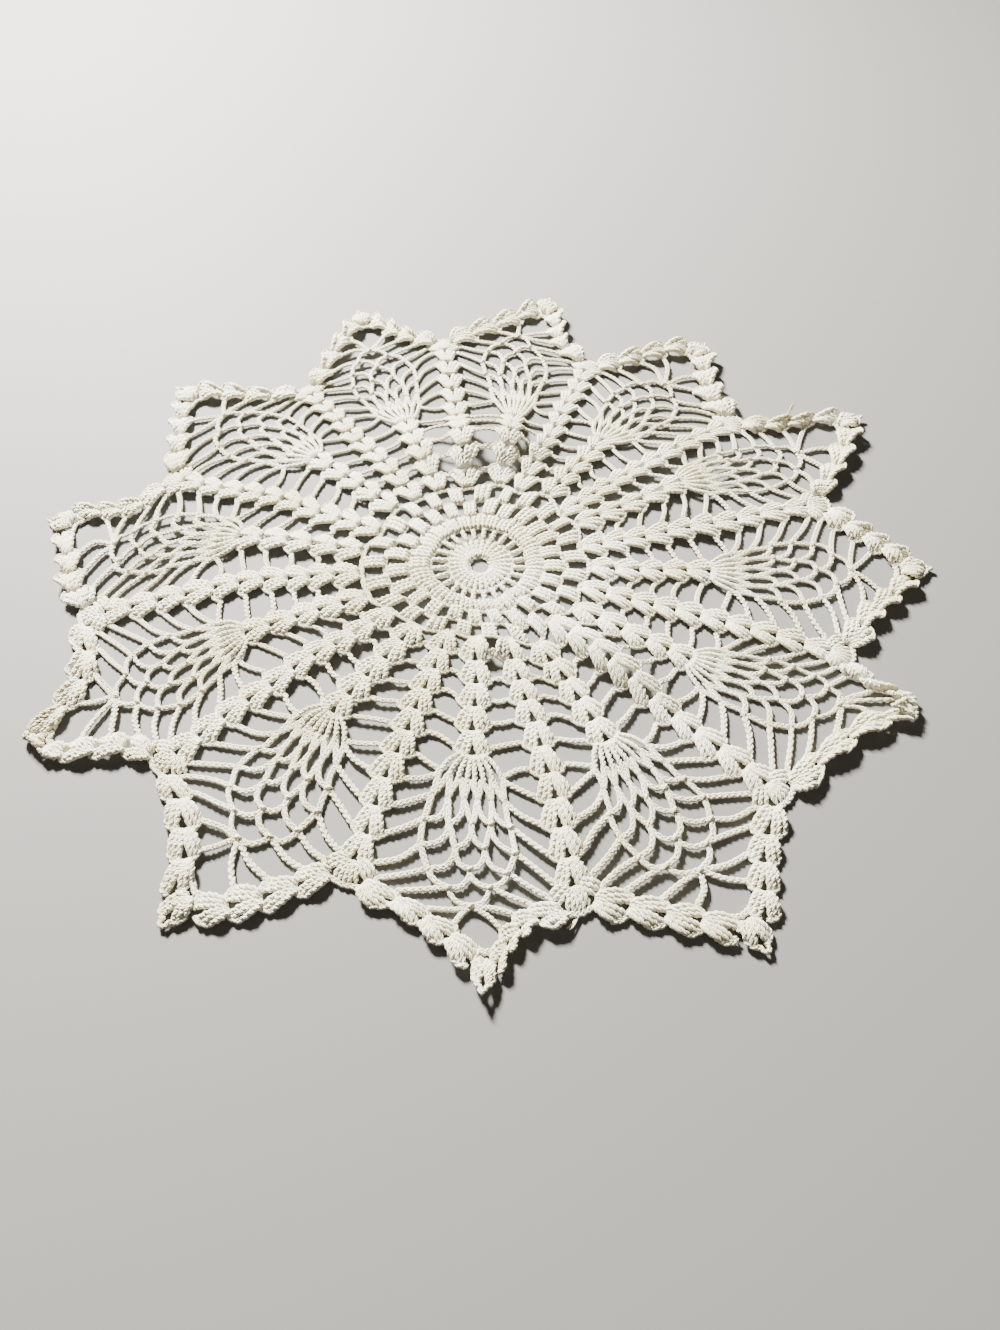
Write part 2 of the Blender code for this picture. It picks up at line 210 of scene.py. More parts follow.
# Folded tips: pineapple, the fold's direction from the axis in degrees, its
# distance from the centre, and how many degrees it turns up.
TIP_FOLDS = (
    (1, 30.0, 220.0, 170.0),
    (3, 0.0, 226.0, 16.0),
    (5, 20.0, 228.0, 165.0),
)

# Raised places: column of the pattern they lie on, counted like pineapples,
# and its radius; half of their length out from the centre and of their
# width, and their height.
RIDGES = (
    (9.28, 97.0, 32.0, 55.0, 12.0),
    (4.58, 97.0, 48.0, 15.0, 8.0),
    (3.22, 68.0, 14.0, 12.0, 5.0),
)

# The radius within which rings of the pattern keep their size; the direction
# of the first pineapple and how far the centre is turned, in degrees; and the
# radius in which the underside curls and folds up.
REGULAR_CENTRE = 18.0
FIRST_AXIS = 201.8
CENTRE_LEAN = 2.6
FOLD_RADIUS = 4.0

# Where a column's lean takes over from the centre's, and where it changes to
# the lean at its end: from which radius, and over what length.
LEAN_START = (10.0, 50.0)
LEAN_CHANGE = (115.0, 80.0)

# Beside the line of an edge's holes: how far inwards its pull reaches, and
# from where and over what length its shells come to keep their width.
PULL_REACH = 40.0
WIDTH_KEPT = (-30.0, 24.0)

# An edge's pull sets in over these shares of its length, from the notch and
# from the tip, and over this distance from the axis.
NOTCH_SHARE = 0.35
TIP_END_SHARE = 0.25
AXIS_REACH = 20.0

# A tip is drawn aside from this far before the last joint of its net, over
# this length.
TIP_BEFORE = 5.0
TIP_REACH = 40.0


def hole_radius(k):
    """Radius of the small hole in the middle of a shell of round k."""
    return SHELL_START + ROUND_PITCH * k


def beside(column, across, radius):
    """A point beside a column, which stands that many sectors from the axis."""
    return complex(across, radius) * cmath.rect(1.0, -column * SECTOR)


def joint(k, index):
    """A joint of the net, counted across the pineapple."""
    count, half_width, radius = NET[k]
    share = 2.0 * index / (count - 1) - 1.0 if count > 1 else 0.0
    return complex(share * half_width, radius)


def outer_joint(side, k):
    """The outer joint of a round of the net, or its last joint past its end."""
    k = min(k, NET_END)
    return joint(k, NET[k][0] - 1 if side > 0 else 0)


def edge_hole(side, shell):
    """Holes of the shells along a pineapple's edge, from the notch to the tip."""
    aside, out = EDGE_START
    start = beside(side / 2, -side * aside, hole_radius(NOTCH_ROUND) + out)
    return start + (complex(0.0, TIP_RADIUS) - start) * shell / EDGE_SHELLS


def edge_frame(side):
    """The directions along an edge, to the tip, and outwards from it."""
    along = edge_hole(side, EDGE_SHELLS) - edge_hole(side, 0)
    along /= abs(along)
    return along, along * complex(0.0, -side)


def edge_corner(side, shell, outwards):
    """The top corner of an edge shell's outer or, below zero, inner group."""
    along, out = edge_frame(side)
    return edge_hole(side, shell) - EDGE_CORNER * along + outwards * out


def hanger(side, k):
    """Where the side chain of round k leaves the shells beside the net."""
    if k <= NOTCH_ROUND:
        return beside(side / 2, -side * SHELL_TOP, hole_radius(k) - SHELL_CORNER)
    if k == NOTCH_ROUND + 1:
        aside, out = CLUSTER_CORNER
        return beside(side / 2, -side * aside, hole_radius(NOTCH_ROUND) + out)
    return edge_corner(side, k - NOTCH_ROUND - 1, -EDGE_TOP)


def mix(a, b, share):
    """What lies at a share of the way from one value to another."""
    return a + (b - a) * share


def ease(share):
    """A smooth step from 0 to 1."""
    share = min(1.0, max(0.0, share))
    return share * share * (3.0 - 2.0 * share)


def set_in(value, start, length):
    """A smooth step from 0 to 1 that begins at a value and takes a length."""
    return ease((value - start) / length)


def dot(a, b):
    """How far one direction or point reaches along another."""
    return (a.conjugate() * b).real


def column_reach(column, radius):
    """True radius of a ring of the pattern where it crosses a column."""
    start, middle, end = COLUMNS[column][2:]
    full = NET[NET_END][2] if column % 2 == 0 else hole_radius(NOTCH_ROUND)
    rings = (0.0, REGULAR_CENTRE, SHELL_START, hole_radius(FAN_ROUND - 1), full)
    reach = (0.0, REGULAR_CENTRE, start, middle, end)
    i = min(sum(radius > ring for ring in rings[1:]), 3)
    return mix(reach[i], reach[i + 1], (radius - rings[i]) / (rings[i + 1] - rings[i]))


def column_lean(column, radius):
    """How far a column leans from its even place, in degrees."""
    near, far = COLUMNS[column][:2]
    even = FIRST_AXIS + COLUMN_STEP * column
    lean = mix(near, far, set_in(radius, *LEAN_CHANGE)) - even
    return mix(CENTRE_LEAN, lean, set_in(radius, *LEAN_START))


def lay(sector, point):
    """Where a point of the pattern lies, seen from above."""
    radius = abs(point)
    place = 2.0 * ((sector + math.atan2(point.real, point.imag) / SECTOR) % SECTORS)
    column = int(place) % (2 * SECTORS)
    share = ease(place - int(place))
    beyond = (column + 1) % (2 * SECTORS)
    reach = mix(column_reach(column, radius), column_reach(beyond, radius), share)
    lean = mix(column_lean(column, radius), column_lean(beyond, radius), share)
    return cmath.rect(reach, math.radians(FIRST_AXIS + COLUMN_STEP * place + lean))


def bend(past, height, degrees):
    """Roll what lies past a fold line upwards: its new distance and height."""
    radius = FOLD_RADIUS
    turn = math.radians(degrees)
    if past <= 0.0 or turn == 0.0:
        return past, height
    arc = min(past / radius, turn)
    rest = past - arc * radius
    return ((radius - height) * math.sin(arc) + rest * math.cos(arc),
            radius - (radius - height) * math.cos(arc) + rest * math.sin(arc))


def beside_edge(point, past, out):
    """A point of the net itself, but for the shells along an edge the place of
    their holes, so that they keep their width where the lace is drawn aside."""
    return point - past * set_in(past, *WIDTH_KEPT) * out


def curl_edge(sector, point, height):
    """Pull in and curl up the edges of a pineapple."""
    side = 1 if point.real > 0.0 else -1
    pull, degrees = EDGES[2 * sector + (side > 0)]
    along, out = edge_frame(side)
    start = edge_hole(side, 0)
    past = dot(out, point - start)
    share = dot(along, point - start) / abs(edge_hole(side, EDGE_SHELLS) - start)
    aside = abs(beside_edge(point, past, out).real)
    near = ease(share / NOTCH_SHARE)
    held = near * ease((1.0 - share) / TIP_END_SHARE) * ease(aside / AXIS_REACH)
    point -= pull * held * ease((past + PULL_REACH) / PULL_REACH) * out
    moved, height = bend(past, height, degrees * near)
    return point + (moved - past) * out, height


def tip_share(point):
    """The share of its tip's shift that a point takes."""
    side = 1 if point.real > 0.0 else -1
    out = edge_frame(side)[1]
    past = dot(out, point - edge_hole(side, 0))
    outwards = beside_edge(point, past, out).imag - NET[NET_END][2]
    return ease((outwards + TIP_BEFORE) / TIP_REACH)


def fold_tip(sector, point, height):
    """Draw the tip of a pineapple aside and fold it up."""
    point += complex(*TIPS[sector]) * tip_share(point)
    for pineapple, direction, distance, degrees in TIP_FOLDS:
        if pineapple == sector + 1:
            out = cmath.rect(1.0, math.radians(90.0 - direction))
            past = dot(out, point) - distance
            moved, height = bend(past, height, degrees)
            point += (moved - past) * out
    return point, height


def ridge_height(sector, point):
    """How far a point of the pattern is raised off the surface."""
    total = 0.0
    for column, radius, half_length, half_width, height in RIDGES:
        turned = point * cmath.rect(1.0, (column - 1.0 - sector) * SECTOR)
        across = turned.real / half_width
        along = (turned.imag - radius) / half_length
        total += height * max(0.0, 1.0 - across * across - along * along) ** 2
    return total


def settle(sector, point, height):
    """The true x, y and z, in millimetres from the centre hole, of a point of
    the pattern at a height above the underside of the lace."""
    raised = ridge_height(sector, point)
    if abs(point) > hole_radius(NOTCH_ROUND) - PULL_REACH:
        point, height = curl_edge(sector, point, height)
        point, height = fold_tip(sector, point, height)
    spot = lay(sector, point)
    return spot.real, spot.imag, height + raised


# -------------------------------------------------------------------- yarn
# The part's origin, in the middle of its underside, from the centre hole.
FOOT = (1.704, 4.541, 0.0)

# A strand: its width at both ends beside that between them, and a direction
# in which none runs, from which its sides are found.
END_TAPER = 0.6
NEARLY_UP = (0.05, 0.03, 1.0)
TINY = 1e-9

# A chain is a plait: its strands, their radius, how far they swing aside and
# up, how high its middle lies, and the length of a full swing; then how far
# apart a strand's rings are, how few steps it has, and the rings' corners.
PLAIT_STRANDS = 3
STRAND = 0.76
CHAIN_SWING = 0.86
CHAIN_RISE = 0.42
CHAIN_MIDDLE = 1.45
PLAIT = 8.7
CHAIN_STEP = 1.19
CHAIN_FEWEST = 4
CHAIN_SIDES = 4

# A tall stitch is two strands twisted round each other: their radius, the
# length of a turn, the random part of a turn at which they start, how far
# they lie apart, the shares of that at their ends and added between them, and
# how flat the twist is.
POST_STRAND = 0.9
POST_TURN = 5.4
POST_START = (-0.1, 0.25)
POST_SPREAD = 0.66
POST_ENDS = 0.7
POST_SWELL = 0.3
POST_FLAT = 0.7

# How high a tall stitch lies and is arched, how high it passes over the cord
# that it stands on, and at which share of its length; then the steps of a
# strand over which length, how few it has, and its rings' corners.
POST_MIDDLE = 1.35
POST_ARCH = 1.3
POST_WRAP = 1.0
WRAP_SHARE = 0.14
POST_STEPS = 9
POST_LENGTH = 12.0
POST_FEWEST = 5
POST_SIDES = 5

# Everything random comes from this seed.  The vector noise would otherwise
# start from the clock.
SEED = 12
chance = random.Random(SEED)
noise.seed_set(SEED)


class Yarn:
    """Tubes of yarn that become one piece."""

    def __init__(self):
        self.places = []
        self.faces = []
        self.maps = []
        self.count = 0

    def tube(self, line, radius, sides=CHAIN_SIDES):
        """A round strand along a line of true places in millimetres."""
        line = np.asarray(line, float)
        rings = len(line)
        along = np.gradient(line, axis=0)
        along /= np.linalg.norm(along, axis=1)[:, None] + TINY
        side = np.cross(along, NEARLY_UP)
        side /= np.linalg.norm(side, axis=1)[:, None] + TINY
        top = np.cross(side, along)
        turn = np.linspace(0.0, 2.0 * math.pi, sides, endpoint=False)[:, None]
        width = np.full(rings, radius)
        width[0] = width[-1] = radius * END_TAPER
        ring = side[:, None] * np.cos(turn) + top[:, None] * np.sin(turn)
        self.places.append((line[:, None] + ring * width[:, None, None]).reshape(-1, 3))
        i = np.arange(rings - 1)[:, None] * sides
        j = np.arange(sides)[None, :]
        beyond = (j + 1) % sides
        corners = (i + j, i + beyond, i + sides + beyond, i + sides + j)
        self.faces.append(np.stack(corners, axis=-1).reshape(-1, 4) + self.count)
        self.count += rings * sides
        self.map_tube(line, sides)

    def map_tube(self, line, sides):
        """Map a tube: the share of the way round it, and millimetres along."""
        steps = np.linalg.norm(np.diff(line, axis=0), axis=1)
        far = np.concatenate(([0.0], np.cumsum(steps)))
        start = chance.random()
        shape = (len(line) - 1, sides)
        u = np.broadcast_to(np.arange(sides)[None, :] / sides, shape)
        v = np.broadcast_to(far[:-1, None] + start, shape)
        w = np.broadcast_to(far[1:, None] + start, shape)
        step = 1.0 / sides
        pairs = ((u, v), (u + step, v), (u + step, w), (u, w))
        corners = [np.stack(pair, axis=-1) for pair in pairs]
        self.maps.append(np.stack(corners, axis=-2).reshape(-1, 2))

    def piece(self, name, material):
        """Make one mesh of all tubes, about the part's origin and in metres."""
        places = (np.concatenate(self.places) - FOOT) * MM
        faces = np.concatenate(self.faces)
        mesh = bpy.data.meshes.new(name)
        mesh.vertices.add(len(places))
        mesh.vertices.foreach_set("co", places.ravel())
        mesh.loops.add(faces.size)
        mesh.loops.foreach_set("vertex_index", faces.ravel())
        mesh.polygons.add(len(faces))
        mesh.polygons.foreach_set("loop_start", np.arange(len(faces)) * 4)
        mesh.polygons.foreach_set("use_smooth", np.ones(len(faces), bool))
        mesh.update(calc_edges=True)
        layer = mesh.uv_layers.new(name="strand")
        layer.data.foreach_set("uv", np.concatenate(self.maps).ravel())
        mesh.materials.append(material)
        made = bpy.data.objects.new(name, mesh)
        bpy.context.scene.collection.objects.link(made)
        return made


def strand_place(sector, point, height):
    """The true place of a point of a strand, with the cloth's faint waves and
    the small shifts of its hand-made stitches."""
    x, y, z = settle(sector, point, height)
    wave = noise.noise(Vector((x / WAVE_LENGTH, y / WAVE_LENGTH, WAVE_SLICE)))
    shift = noise.noise_vector(Vector((x / SHIFT_LENGTH, y / SHIFT_LENGTH, SHIFT_SLICE)))
    return x + SHIFT * shift.x, y + SHIFT * shift.y, z + WAVE_HEIGHT * max(0.0, wave)


def smooth_line(points, step):
    """A curve through points: places at even steps along it, and how far along
    it they are."""
    dense = []
    last = len(points) - 1
    for i in range(last):
        before, a = points[max(i - 1, 0)], points[i]
        b, after = points[i + 1], points[min(i + 2, last)]
        for share in (0.0, 0.2, 0.4, 0.6, 0.8):
            pull_a, pull_b = (b - before) / 2.0, (after - a) / 2.0
            s, q, c = share, share * share, share ** 3
            dense.append(a * (2 * c - 3 * q + 1) + pull_a * (c - 2 * q + s)
                         + b * (3 * q - 2 * c) + pull_b * (c - q))
    dense.append(points[-1])
    lengths = [0.0]
    for a, b in zip(dense, dense[1:]):
        lengths.append(lengths[-1] + abs(b - a))
    count = max(CHAIN_FEWEST, round(lengths[-1] / step))
    marks = np.linspace(0.0, lengths[-1], count + 1)
    real = np.interp(marks, lengths, [p.real for p in dense])
    imag = np.interp(marks, lengths, [p.imag for p in dense])
    return real + 1j * imag, marks


def chain(yarn, sector, points, lift=0.0, swing=CHAIN_SWING):
    """A crocheted chain through points of the pattern."""
    line, marks = smooth_line(points, CHAIN_STEP)
    ahead = np.gradient(line)
    side = ahead / np.abs(ahead) * -1j
    start = chance.random()
    for strand in range(PLAIT_STRANDS):
        phase = 2.0 * math.pi * (marks / PLAIT + start + strand / PLAIT_STRANDS)
        spots = line + side * swing * np.sin(phase)
        heights = CHAIN_MIDDLE + lift + CHAIN_RISE * np.sin(2.0 * phase)
        yarn.tube([strand_place(sector, complex(p), h) for p, h in zip(spots, heights)], STRAND)


def post(yarn, sector, base, top, bulge=0.0, arch=POST_ARCH, width=1.0):
    """A tall stitch from the cord that it stands on to its top."""
    tall = abs(top - base)
    ahead = (top - base) / tall
    side = ahead * -1j
    start = chance.uniform(*POST_START)
    count = max(POST_FEWEST, round(POST_STEPS * tall / POST_LENGTH))
    for strand in (0.0, 0.5):
        line = []
        for i in range(count + 1):
            share = i / count
            swell = math.sin(math.pi * share)
            spread = POST_SPREAD * width * (POST_ENDS + POST_SWELL * swell)
            angle = 2.0 * math.pi * (tall * share / POST_TURN + strand + start)
            aside = spread * math.cos(angle) + bulge * swell
            wrap = POST_WRAP * max(0.0, 1.0 - abs(share - WRAP_SHARE) / WRAP_SHARE)
            height = POST_MIDDLE + POST_FLAT * spread * math.sin(angle) + arch * swell + wrap
            line.append(strand_place(sector, base + (top - base) * share + side * aside, height))
        yarn.tube(line, POST_STRAND * width, POST_SIDES)


def jitter(point, amount):
    """A point moved by chance, aside and outwards."""
    return point + complex(chance.uniform(-amount, amount), chance.uniform(-amount, amount))


def mirrored(side, middle=()):
    """A path through both sides, from its right side, which starts within."""
    return [(-across, out) for across, out in reversed(side)] + list(middle) + list(side)


# ------------------------------------------------------------------ shells
# The two kinds of shell.  Of the whole: how far it turns by chance, in
# radians, and the range of its size.  Of its stitches: how far aside the first
# top stands, and the last one from the shell's side; how far out the first
# foot stands, and how much further aside each next one; how far out the tops
# stand, how much they droop and their random part; how much more each next
# stitch bulges; their arch and their width.
COLUMN_SHELL = SimpleNamespace(
    turn=0.06, size=(0.95, 1.05), first=3.4, last=1.2, foot=1.5, foot_step=0.7,
    top=1.6, droop=0.7, uneven=0.4, bulge=0.5, arch=1.6, width=1.14)
EDGE_SHELL = SimpleNamespace(
    turn=0.12, size=(0.92, 1.06), first=2.9, last=1.1, foot=1.2, foot_step=0.65,
    top=1.2, droop=0.8, uneven=0.5, bulge=0.7, arch=2.2, width=1.08)

# Of both kinds: the first foot's place aside, how much less far out each next
# one stands, the random part of a top's place aside, and the first bulge.
FOOT_ASIDE = 0.5
FOOT_FALL = 0.2
TOP_UNEVEN = 0.25
FIRST_BULGE = -0.5

# The right side of the cords over them, from within: the share of the shell's
# half width and what is added to it, and how far out from the hole; then how
# much higher these cords lie.
COLUMN_CORD = ((0.0, 2.2, 2.5), (0.6, 0.0, 1.2), (1.0, -0.7, -1.0), (1.0, 0.0, -3.4))
EDGE_CORD = ((0.0, 1.2, 2.2), (0.55, 0.0, 1.4), (1.0, -1.4, -0.9), (1.0, -0.9, -3.8))
COLUMN_LIFT = -0.2
EDGE_LIFT = 0.2

# How full the shells along the edges of each pineapple are.
FULLNESS = (1.06, 1.0, 1.0, 1.0, 1.1, 1.16, 1.2, 1.24, 1.24, 1.18, 1.14, 1.1)


def petals(yarn, sector, base, hole, half, kind, full=1.0):
    """Two groups of three tall stitches from one hole, spreading like petals.
    Returns their directions outwards and aside, and half of their width."""
    turn = chance.uniform(-kind.turn, kind.turn)
    ahead = (hole - base) / abs(hole - base) * cmath.rect(1.0, turn)
    side = ahead * -1j
    half *= full * chance.uniform(*kind.size)
    for way in (-1, 1):
        for i in range(3):
            foot_aside = FOOT_ASIDE + kind.foot_step * i
            foot = base + side * way * foot_aside + ahead * (kind.foot - FOOT_FALL * i)
            aside = mix(kind.first, half - kind.last, i / 2.0)
            aside += chance.uniform(-TOP_UNEVEN, TOP_UNEVEN)
            out = kind.top - kind.droop * i * i + chance.uniform(-kind.uneven, kind.uneven)
            head = hole + side * way * aside + ahead * out
            bulge = way * (FIRST_BULGE + kind.bulge * i)
            post(yarn, sector, foot, head, bulge, kind.arch * full * full, kind.width * full)
    return ahead, side, half


def cord_over(half, cord):
    """The right side of the cord over a shell of that half width."""
    return [(share * half + more, out) for share, more, out in cord]


def shell(yarn, sector, base, hole):
    """A shell of the columns, with one cord over its two groups and its hole."""
    ahead, side, half = petals(yarn, sector, base, hole, SHELL_TOP, COLUMN_SHELL)
    over = mirrored(cord_over(half, COLUMN_CORD))
    points = [hole + side * across + ahead * out for across, out in over]
    chain(yarn, sector, points, COLUMN_LIFT)


def leaf_pair(yarn, sector, base, hole, half):
    """A shell of the edging, puffed up: each group has a cord of its own, which
    turns in at its side."""
    full = FULLNESS[sector]
    ahead, side, half = petals(yarn, sector, base, hole, half, EDGE_SHELL, full)
    for way in (-1, 1):
        over = cord_over(half, EDGE_CORD)
        points = [hole + side * way * across + ahead * out for across, out in over]
        chain(yarn, sector, points, EDGE_LIFT)


# ----------------------------------------------------- centre and columns
# The cords round the centre: their radii, and how much higher they lie.
RING_RADII = (CENTRE_HOLE + 1.7, 18.0, 27.0, 37.0, 49.0, SHELL_START)
RING_LIFT = -0.3

# Plain rounds of single stitches: how many, from which radius to which, and
# their width; then the arch of all of them.
SINGLE_ROUNDS = ((30, 5.8, 17.4, 1.15), (24, 17.8, 26.4, 1.1))
SINGLE_ARCH = 0.7

# Plain rounds of groups of three: from which radius to which, the first place,
# counted in sectors, and how far the stitches stand apart below and above;
# then, for all of them, the random part of that, their arch and their width.
GROUP_ROUNDS = (
    (26.6, 36.4, 0.25, 2.3, 2.8),
    (36.6, 48.4, 0.0, 2.2, 2.5),
    (48.6, 60.4, 0.25, 2.3, 2.7),
)
GROUP_UNEVEN = 0.3
GROUP_ARCH = 1.2
GROUP_WIDTH = 1.2

# The chains between two columns: how far before a shell's hole they end, how
# much further out they leave a fan, and how far their middle strays.
CHAIN_BEFORE = 2.6
FAN_CHAIN_OUT = 2.0
CHAIN_STRAY = 1.5

# A fan's tall stitches: how far aside their tops stand, how far the row of
# tops reaches past the net's first joints and how it falls off aside; the
# first foot, aside and outwards, and the step to the next one; how much more
# each next stitch bulges, and their arch and width.
FAN_TOPS = (2.2, 6.4, 10.4, 14.2)
FAN_REACH = 4.5
FAN_FALL = 0.02
FAN_FOOT = (0.6, 1.0)
FAN_FOOT_STEP = (1.15, -0.3)
FAN_BULGE = 0.5
FAN_ARCH = 1.2
FAN_WIDTH = 0.95


def ring(yarn, radius):
    """A cord all round the centre."""
    for sector in range(SECTORS):
        points = [beside(step / 4.0, 0.0, radius) for step in range(-2, 3)]
        chain(yarn, sector, points, RING_LIFT)


def centre_rounds(yarn):
    """The five plain rounds, and the cords between them."""
    for count, inner, outer, width in SINGLE_ROUNDS:
        for i in range(count):
            place = SECTORS * i / count
            foot, head = beside(place, 0.0, inner), beside(place, 0.0, outer)
            post(yarn, 0, foot, head, 0.0, SINGLE_ARCH, width)
    for inner, outer, first, below, above in GROUP_ROUNDS:
        for column in range(2 * SECTORS):
            place = first + (column % 2) / 2.0
            for across in (-1, 0, 1):
                foot = beside(place, across * below, inner)
                aside = across * above + chance.uniform(-GROUP_UNEVEN, GROUP_UNEVEN)
                head = beside(place, aside, outer)
                post(yarn, column // 2, foot, head, 0.0, GROUP_ARCH, GROUP_WIDTH)
    for radius in RING_RADII:
        ring(yarn, radius)


def column_chain(yarn, sector, side, k):
    """The chain of round k from a pineapple's column to the next one."""
    low = hole_radius(k) - CHAIN_BEFORE
    a = complex(side * SHELL_TOP, low)
    if k == FAN_ROUND:
        a = complex(side * FAN_TOPS[-1], low + FAN_CHAIN_OUT)
    b = beside(side / 2, -side * SHELL_TOP, low)
    middle = (a + b) / 2.0 + complex(0.0, chance.uniform(-CHAIN_STRAY, CHAIN_STRAY))
    chain(yarn, sector, [a, middle, b])


def fan(yarn, sector, side):
    """One side of the fan on top of a pineapple's column."""
    base, top = hole_radius(FAN_ROUND - 1), NET[NET_START][2] + FAN_REACH
    for i, across in enumerate(FAN_TOPS):
        aside = FAN_FOOT[0] + FAN_FOOT_STEP[0] * i
        foot = complex(side * aside, base + FAN_FOOT[1] + FAN_FOOT_STEP[1] * i)
        head = complex(side * across, top - FAN_FALL * across * across)
        post(yarn, sector, foot, head, side * FAN_BULGE * i, FAN_ARCH, FAN_WIDTH)


def pineapple_shells(yarn):
    """The shells under each pineapple, its fan, and the chains beside them."""
    for sector in range(SECTORS):
        holes = [complex(0.0, hole_radius(k)) for k in range(FAN_ROUND)]
        for base, hole in zip(holes, holes[1:]):
            shell(yarn, sector, base, hole)
        for side in (-1, 1):
            for k in range(1, FAN_ROUND + 1):
                column_chain(yarn, sector, side, k)
        for side in (-1, 1):
            fan(yarn, sector, side)


def notch_shells(yarn):
    """The columns of shells between the pineapples."""
    for sector in range(SECTORS):
        holes = [beside(0.5, 0.0, hole_radius(k)) for k in range(NOTCH_ROUND + 1)]
        for base, hole in zip(holes, holes[1:]):
            shell(yarn, sector, base, hole)


# ----------------------------------------------------------------- the net
# Loops: how far their points stray, how high they lie, and at which share of
# its way a first loop bends.
LOOP_STRAY = 0.4
LOOP_LIFT = 0.2
FIRST_BEND = 0.6

# A loop's second and third point: their shares of the way aside where it is
# pointed and where it is round, and their share of the way outwards.
LOOP_SECOND = (0.5, 0.06, 0.42)
LOOP_THIRD = (0.94, 0.42, 0.86)

# Half of the width of a loop that is quite pointed, and how much wider a
# quite round one is.
POINTED = 1.8
ROUNDED = 3.2

# A knot: its places across and along it, how high its strands end, and how
# much higher the one passes over the other; then, on pointed loops and on
# round ones, half of its width, and its height.
KNOT_STEPS = (-1.0, -0.6, 0.0, 0.6, 1.0)
KNOT_LOW = 1.1
KNOT_OVER = 0.35
KNOT_HALF = (0.3, 1.5)
KNOT_HEIGHT = (0.6, 1.9)

# The chains beside the net: how far they bow, at random, how high they lie,
# and the radius at which the one across the tip crosses the axis.
SIDE_BOW = (-0.8, 2.4)
SIDE_LIFT = 0.1
TIP_CHAIN = 228.5


def knot(yarn, sector, place, wide):
    """The stitch that joins two loops of the net."""
    size, height = mix(*KNOT_HALF, wide), mix(*KNOT_HEIGHT, wide)
    for way, lift in ((-1, KNOT_OVER), (1, 0.0)):
        line = []
        for step in KNOT_STEPS:
            spot = place + complex(way * size * step, step)
            line.append(strand_place(sector, spot, KNOT_LOW + lift + height * (1.0 - step * step)))
        yarn.tube(line, STRAND)


def roundness(start, joined):
    """From 0 for the narrow, straight loops near the fan to 1 for wide ones."""
    return ease((abs(joined.real - start.real) - POINTED) / ROUNDED)


def loop_half(start, joined):
    """Half of a loop of the net: it leaves a joint outwards, and passes the
    joint in the loop's middle sideways.  A narrow loop is pointed."""
    across, out = joined.real - start.real, joined.imag - start.imag
    wide = roundness(start, joined)
    middle = [start + complex(mix(pointed, rounded, wide) * across, share * out)
              for pointed, rounded, share in (LOOP_SECOND, LOOP_THIRD)]
    return [start] + [jitter(point, LOOP_STRAY) for point in middle] + [joined]


def first_loop_half(start, joined):
    """Half of a loop of the first row, which carries on from the fan."""
    fan_top = start + complex(0.0, -FAN_FALL * start.real ** 2)
    return [fan_top, jitter(mix(start, joined, FIRST_BEND), LOOP_STRAY), joined]


def net(yarn):
    """The net inside each pineapple.  A loop of the usual kind is drawn up for
    the first row as well, so that all later stitches stray as they do."""
    for sector in range(SECTORS):
        for k in range(NET_START, NET_END):
            for index in range(NET[k + 1][0]):
                joined = joint(k + 1, index)
                for start in (joint(k, index), joint(k, index + 1)):
                    path = loop_half(start, joined)
                    if k == NET_START:
                        path = first_loop_half(start, joined)
                    chain(yarn, sector, path, LOOP_LIFT)
                if k > NET_START:
                    knot(yarn, sector, joined, roundness(joint(k, index), joined))


def side_chains(yarn):
    """The chains from the net to the shells beside it, and the one across the tip."""
    for sector in range(SECTORS):
        for side in (-1, 1):
            for k in range(NET_START, NET_END + 2):
                a, b = hanger(side, k), outer_joint(side, k)
                bow = (b - a) * complex(0.0, -side) / abs(b - a)
                middle = (a + b) / 2.0 + bow * chance.uniform(*SIDE_BOW)
                chain(yarn, sector, [a, middle, b], SIDE_LIFT)
        left, right = [edge_corner(side, EDGE_SHELLS - 1, -EDGE_TOP) for side in (-1, 1)]
        chain(yarn, sector, [left, complex(0.0, TIP_CHAIN), right])


# -------------------------------------------------------------- the edging
# The middle group of a notch's cluster, from the notch's last hole: how far
# out its feet stand and how far apart, the same for its tops, how these fall
# off aside, and how much more each next stitch bulges.
MIDDLE_FOOT = 0.9
MIDDLE_FOOT_STEP = 0.7
MIDDLE_TOP = 11.2
MIDDLE_TOP_STEP = 2.4
MIDDLE_FALL = 0.4
MIDDLE_BULGE = 0.25

# The groups beside it, aside and outwards: the first foot and the step to the
# next one, the tops, and how much more each next stitch bulges.
OUTER_FOOT = (1.9, 1.4)
OUTER_FOOT_STEP = (0.8, -1.1)
OUTER_TOPS = ((8.4, 6.6), (10.2, 4.9), (11.4, 2.9))
OUTER_BULGE = 0.3

# The cord over the middle group, its middle and its right side, and the cord
# over the group beside it.
MIDDLE_CORD_TOP = (0.0, 12.0)
MIDDLE_CORD = ((3.6, 11.4), (6.6, 11.0), (9.2, 9.4))
OUTER_CORD = ((9.0, 9.0), (10.4, 7.2), (12.0, 5.4), (13.0, 2.6))

# Half of the width of an edge's shells and of the one at the tip; how far
# before the tip that one starts and has its hole.
EDGE_SPREAD = 7.2
TIP_SPREAD = 6.8
TIP_BASE = 13.5
TIP_HOLE = 1.5

# The picot on the tip: its top, its right side, and how far its strands swing.
PICOT_TOP = (0.0, 4.2)
PICOT_SIDE = ((1.9, 2.6), (1.2, 0.0))
PICOT_SWING = 0.5

# Two loose ends of thread: the radius of the thread and of the ply that parts
# from it, how far that ply moves at each place, and how high it lies.
THREAD = 0.55
PLY = 0.45
PLY_STEP = (0.25, -0.15)
PLY_LIFT = 0.4

